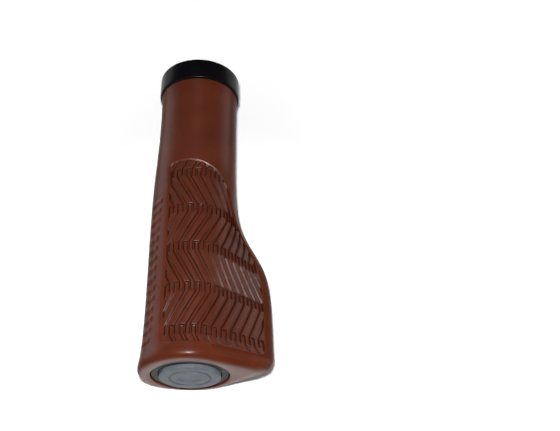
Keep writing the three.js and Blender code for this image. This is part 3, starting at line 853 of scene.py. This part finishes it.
SLATE_TONES = ((0.3, (30, 33, 35)), (0.7, (38, 42, 44)))
GREY_TONES = ((0.3, (80, 86, 91)), (0.7, (94, 100, 105)))
SLATE_ROUGHNESS, GREY_ROUGHNESS = (0.36, 0.5), (0.32, 0.46)
PLASTIC_NOISES, PLASTIC_GRAIN = ((260, 5), (500, 4), (3500, 2)), (0.1, 0.00008)

BLACK_TONES, BLACK_ROUGHNESS = ((0.3, (8, 7, 9)), (0.8, (14, 12, 15))), (0.2, 0.32)
BLACK_NOISES, BLACK_GRAIN = ((150, 4), (700, 4), (4000, 2)), (0.05, 0.00005)
FAINT_SPECULAR = 0.06

STEEL_TONES, STEEL_ROUGHNESS = ((0.3, (38, 38, 40)), (0.8, (56, 56, 58))), (0.3, 0.42)
STEEL_NOISES, STEEL_GRAIN = ((400, 4), (900, 3), (5000, 2)), (0.08, 0.00005)
STEEL_METALLIC = 0.9


def shader(name, roughness, metallic=0.0, specular=0.5):
    material = bpy.data.materials.new(name)
    material.use_nodes = True
    nodes = material.node_tree.nodes
    bsdf = nodes["Principled BSDF"]
    bsdf.inputs["Roughness"].default_value = roughness
    bsdf.inputs["Metallic"].default_value = metallic
    bsdf.inputs["Specular IOR Level"].default_value = specular
    return material, nodes, material.node_tree.links, bsdf


def noise(nodes, links, coords, scale, detail):
    node = nodes.new("ShaderNodeTexNoise")
    node.inputs["Scale"].default_value = scale
    node.inputs["Detail"].default_value = detail
    links.new(coords.outputs["Object"], node.inputs["Vector"])
    return node.outputs["Fac"]


def ramp(nodes, links, value, stops):
    node = nodes.new("ShaderNodeValToRGB")
    elements = node.color_ramp.elements
    while len(elements) < len(stops):
        elements.new(0.5)
    for element, (place_at, color) in zip(elements, stops):
        element.position = place_at
        element.color = (*color, 1)
    links.new(value, node.inputs["Fac"])
    return node.outputs["Color"]


def remap(nodes, links, value, low, high):
    node = nodes.new("ShaderNodeMapRange")
    node.inputs["To Min"].default_value = low
    node.inputs["To Max"].default_value = high
    links.new(value, node.inputs["Value"])
    return node.outputs["Result"]


def bump(nodes, links, value, bsdf, strength, distance, before=None):
    node = nodes.new("ShaderNodeBump")
    node.inputs["Strength"].default_value = strength
    node.inputs["Distance"].default_value = distance
    links.new(value, node.inputs["Height"])
    if before:
        links.new(before, node.inputs["Normal"])
    links.new(node.outputs["Normal"], bsdf.inputs["Normal"])
    return node.outputs["Normal"]


def linear(color):
    """An sRGB colour, 0 to 255, as the linear values that a shader takes."""
    def channel(value):
        share = value / 255
        return ((share + 0.055) / 1.055) ** 2.4 if value > 10 else share / 12.92

    return tuple(channel(value) for value in color)


def toned(nodes, links, value, tones):
    """The colour that the tones give to a noise."""
    return ramp(nodes, links, value, [(place_at, linear(color)) for place_at, color in tones])


def brown_rubber():
    """Rubber whose painted shade on the channel sides and uneven gloss follow the two values stored in the
    skin.
    """
    material, nodes, links, bsdf = shader("brown_rubber", RUBBER_ROUGHNESS[1])
    coords = nodes.new("ShaderNodeTexCoord")
    plain = toned(nodes, links, noise(nodes, links, coords, *RUBBER_TONE_NOISE), RUBBER_TONES)
    # Painted shade: the channels' sides are mixed toward a dark colour where shade falls in them
    side = nodes.new("ShaderNodeAttribute")
    side.attribute_name = "side"
    darker = nodes.new("ShaderNodeMix")
    darker.data_type = "RGBA"
    darker.inputs["B"].default_value = (*linear(CHANNEL_SHADE_COLOR), 1)
    links.new(side.outputs["Fac"], darker.inputs["Factor"])
    links.new(plain, darker.inputs["A"])
    links.new(darker.outputs["Result"], bsdf.inputs["Base Color"])
    polish = nodes.new("ShaderNodeAttribute")
    polish.attribute_name = "polish"
    gloss = remap(nodes, links, polish.outputs["Fac"], DULL_GLOSS, POLISHED_GLOSS)
    links.new(gloss, bsdf.inputs["Specular IOR Level"])
    rough = noise(nodes, links, coords, *RUBBER_ROUGH_NOISE)
    links.new(remap(nodes, links, rough, *RUBBER_ROUGHNESS), bsdf.inputs["Roughness"])
    fine = bump(nodes, links, noise(nodes, links, coords, *RUBBER_FINE_NOISE), bsdf, *RUBBER_FINE_GRAIN)
    broad = noise(nodes, links, coords, *RUBBER_BROAD_NOISE)
    bump(nodes, links, broad, bsdf, *RUBBER_BROAD_GRAIN, before=fine)
    return material


def speckled(name, tones, roughness, noises, grain, metallic=0.0, specular=0.5):
    """A material whose tone, roughness and grain each follow a noise of their own."""
    material, nodes, links, bsdf = shader(name, roughness[0], metallic, specular)
    coords = nodes.new("ShaderNodeTexCoord")
    tone, rough, relief = (noise(nodes, links, coords, scale, detail) for scale, detail in noises)
    links.new(toned(nodes, links, tone, tones), bsdf.inputs["Base Color"])
    links.new(remap(nodes, links, rough, *roughness), bsdf.inputs["Roughness"])
    bump(nodes, links, relief, bsdf, *grain)
    return material


def plastic(name, tones, roughness):
    return speckled(name, tones, roughness, PLASTIC_NOISES, PLASTIC_GRAIN, specular=FAINT_SPECULAR)


def black_metal():
    return speckled(
        "black_metal", BLACK_TONES, BLACK_ROUGHNESS, BLACK_NOISES, BLACK_GRAIN, specular=FAINT_SPECULAR,
    )


def dark_steel():
    return speckled(
        "dark_steel", STEEL_TONES, STEEL_ROUGHNESS, STEEL_NOISES, STEEL_GRAIN, metallic=STEEL_METALLIC,
    )


# Floor, lights and camera

# The floor's own white, as seen directly: distance from the grip in metres, and strength there
GLOW = ((0.06, 0.1), (0.2, 0.75), (0.5, 0.8), (1, 0.95))
FLOOR_GREY, FLOOR_ROUGHNESS, FLOOR_SPECULAR = 0.88, 0.9, 0.2
FLOOR_HALF = 3.0


def floor_material():
    material, nodes, links, bsdf = shader("floor_white", FLOOR_ROUGHNESS, specular=FLOOR_SPECULAR)
    bsdf.inputs["Base Color"].default_value = (FLOOR_GREY, FLOOR_GREY, FLOOR_GREY, 1)
    coords = nodes.new("ShaderNodeTexCoord")
    away = nodes.new("ShaderNodeVectorMath")
    away.operation = "LENGTH"
    links.new(coords.outputs["Object"], away.inputs[0])
    strength = ramp(nodes, links, away.outputs["Value"], [(far, (glow,) * 3) for far, glow in GLOW])
    glow = nodes.new("ShaderNodeEmission")
    glow.inputs["Color"].default_value = (1, 1, 1, 1)
    links.new(strength, glow.inputs["Strength"])
    both = nodes.new("ShaderNodeAddShader")
    links.new(bsdf.outputs["BSDF"], both.inputs[0])
    links.new(glow.outputs["Emission"], both.inputs[1])
    choose = nodes.new("ShaderNodeMixShader")
    seen = seen_directly(nodes, links)
    links.new(seen, choose.inputs["Fac"])
    links.new(bsdf.outputs["BSDF"], choose.inputs[1])
    links.new(both.outputs["Shader"], choose.inputs[2])
    links.new(choose.outputs["Shader"], nodes["Material Output"].inputs["Surface"])
    return material


def seen_directly(nodes, links):
    """1 for camera, glossy and transmission rays."""
    path = nodes.new("ShaderNodeLightPath")
    first = nodes.new("ShaderNodeMath")
    first.operation = "MAXIMUM"
    links.new(path.outputs["Is Camera Ray"], first.inputs[0])
    links.new(path.outputs["Is Glossy Ray"], first.inputs[1])
    second = nodes.new("ShaderNodeMath")
    second.operation = "MAXIMUM"
    links.new(first.outputs["Value"], second.inputs[0])
    links.new(path.outputs["Is Transmission Ray"], second.inputs[1])
    return second.outputs["Value"]


# Brightness of the surroundings against the sine of the height above the horizon
SKY = ((0, (1, 1, 1)), (0.04, (0.7, 0.7, 0.7)), (0.15, (0.1, 0.1, 0.1)), (1, (0.03, 0.03, 0.03)))


def make_floor():
    low, high = -FLOOR_HALF, FLOOR_HALF
    mesh = bpy.data.meshes.new("floor")
    mesh.from_pydata([(low, low, 0), (high, low, 0), (high, high, 0), (low, high, 0)], [], [(0, 1, 2, 3)])
    mesh.materials.append(floor_material())
    floor = bpy.data.objects.new("floor", mesh)
    bpy.context.scene.collection.objects.link(floor)


def make_world():
    """White near the horizon, where it meets the floor, and darker overhead."""
    world = bpy.data.worlds.new("studio")
    world.use_nodes = True
    nodes, links = world.node_tree.nodes, world.node_tree.links
    coords = nodes.new("ShaderNodeTexCoord")
    split = nodes.new("ShaderNodeSeparateXYZ")
    links.new(coords.outputs["Generated"], split.inputs["Vector"])
    sky = ramp(nodes, links, split.outputs["Z"], SKY)
    links.new(sky, nodes["Background"].inputs["Color"])
    bpy.context.scene.world = world


def make_light(name, location, target, size, power):
    data = bpy.data.lights.new(name, "AREA")
    data.shape = "DISK"
    data.size = size
    data.energy = power
    light = bpy.data.objects.new(name, data)
    light.location = location
    light.rotation_mode = "QUATERNION"
    light.rotation_quaternion = (Vector(target) - Vector(location)).to_track_quat("-Z", "Y")
    bpy.context.scene.collection.objects.link(light)


# A small light close to the lens, offset from it to the right, up and back in metres
FLASH_OFFSET = (-0.01, 0.03, 0)
FLASH_SIZE, FLASH_POWER = 0.022, 1.5

# Wide lights: place and size in metres, and power in watts
WIDE_LIGHTS = {
    "left_box": ((-0.9, -0.2, 0.7), 0.8, 0.3),
    "right_box": ((0.9, 0.1, 0.7), 0.8, 0.12),
    "top_box": ((-0.05, 0.55, 1.05), 0.35, 0.2),
}

# The photograph's camera: its place is in millimetres from the bar's axis at the end face
CAMERA_PLACE = (17.3, -101.3, 288.7)
CAMERA_LOOK = Vector((0.0469, 0.500, -0.865)).normalized()
CAMERA_RIGHT = Vector((0.999, -0.020, 0.044))
FOCAL_PIXELS, FRAME_PIXELS, SENSOR = 851, 560, 36


def make_camera():
    data = bpy.data.cameras.new("camera")
    data.sensor_width = SENSOR
    data.lens = FOCAL_PIXELS / FRAME_PIXELS * SENSOR
    data.clip_start, data.clip_end = 0.01, 20
    right = (CAMERA_RIGHT - CAMERA_LOOK * CAMERA_RIGHT.dot(CAMERA_LOOK)).normalized()
    up = right.cross(CAMERA_LOOK)
    camera = bpy.data.objects.new("camera", data)
    turn = Matrix((right, up, -CAMERA_LOOK)).transposed()
    camera.rotation_mode = "QUATERNION"
    camera.rotation_quaternion = turn.to_quaternion()
    camera.location = Vector(CAMERA_PLACE) * MM + ORIGIN
    bpy.context.scene.collection.objects.link(camera)
    bpy.context.scene.camera = camera
    return camera


camera = make_camera()

rubber = brown_rubber()
slate = plastic("slate_plastic", SLATE_TONES, SLATE_ROUGHNESS)
grey = plastic("grey_plastic", GREY_TONES, GREY_ROUGHNESS)
black = black_metal()
steel = dark_steel()

body = rubber_skin(rubber)
sleeve, lugs = sleeve_skin(slate)
cap = cap_skin(grey)
ring = ring_skin(black)
bolt = bolt_skin(steel)

for piece, node, slot in (
    (body, "rubber_body", "brown_rubber"),
    (sleeve, "core_sleeve", "slate_plastic"),
    (lugs, "core_sleeve", "slate_plastic"),
    (cap, "end_cap", "grey_plastic"),
    (ring, "clamp_ring", "black_metal"),
    (bolt, "clamp_bolt", "dark_steel"),
):
    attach(piece, "root")
    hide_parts(node)

make_floor()
make_world()
middle = (cad_box[0] + cad_box[1]) / 2
view = camera.matrix_basis.to_3x3()
flash_place = camera.location + view @ Vector(FLASH_OFFSET)
make_light("flash", flash_place, middle, FLASH_SIZE, FLASH_POWER)
for name, (location, size, power) in WIDE_LIGHTS.items():
    make_light(name, location, middle, size, power)

bpy.context.scene.view_settings.view_transform = "Standard"
